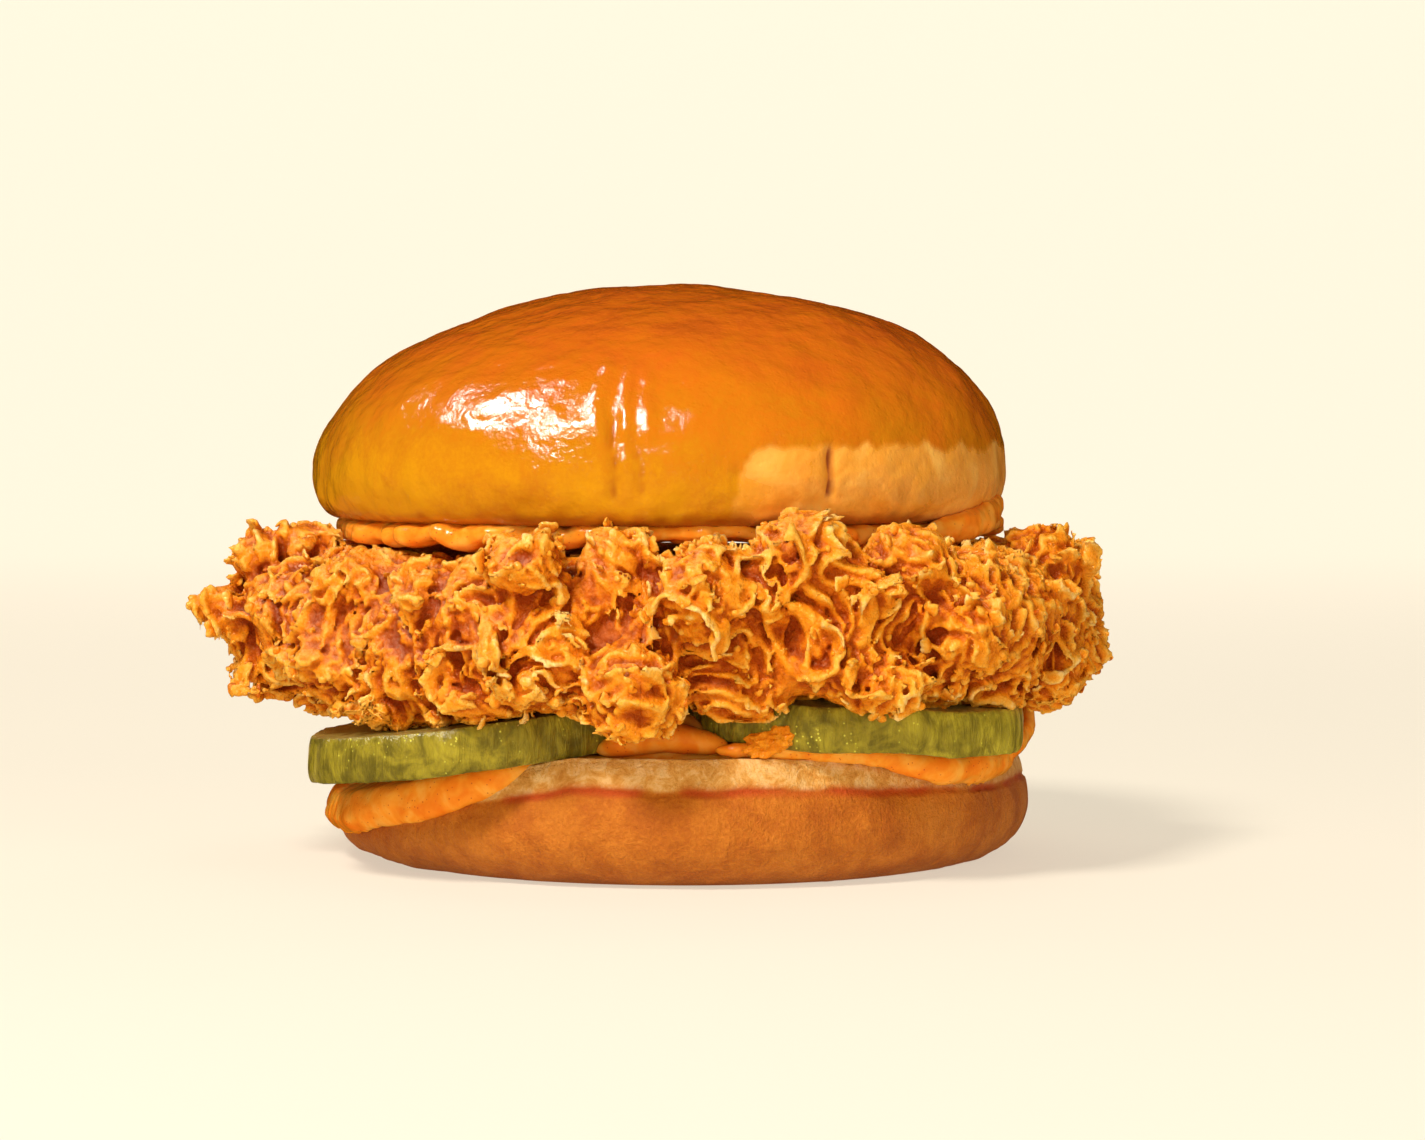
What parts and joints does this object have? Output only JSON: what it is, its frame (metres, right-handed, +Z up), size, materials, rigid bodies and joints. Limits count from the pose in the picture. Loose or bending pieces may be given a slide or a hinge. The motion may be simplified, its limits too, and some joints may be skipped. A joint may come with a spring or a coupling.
{
  "type": "chicken burger",
  "caption": "Crispy fried chicken burger on a round glazed bun, with thick pickle slices and spicy sauce above and below the craggy fillet.",
  "frame": {"origin": "centre of the flat base of the bun heel, on the surface that the burger stands on", "axes": "+Z up; +X along the length of the fillet, to the right as the picture shows the burger; +Y away from the viewer"},
  "size_m": [0.1348, 0.1116, 0.0839],
  "materials": {
    "glazed_bun": "egg-washed golden brown bun crust",
    "baked_heel": "soft matt baked crust",
    "fried_crust": "craggy golden fried crust",
    "sauce": "glossy orange mayonnaise sauce",
    "pickle": "wet olive green pickle"
  },
  "bodies": {
    "root": {"bun_crown": "glazed_bun", "sauce_upper": "sauce", "chicken_fillet": "fried_crust", "pickle_left": "pickle", "pickle_right": "pickle", "sauce_lower": "sauce", "bun_heel": "baked_heel"}
  },
  "joints": []
}
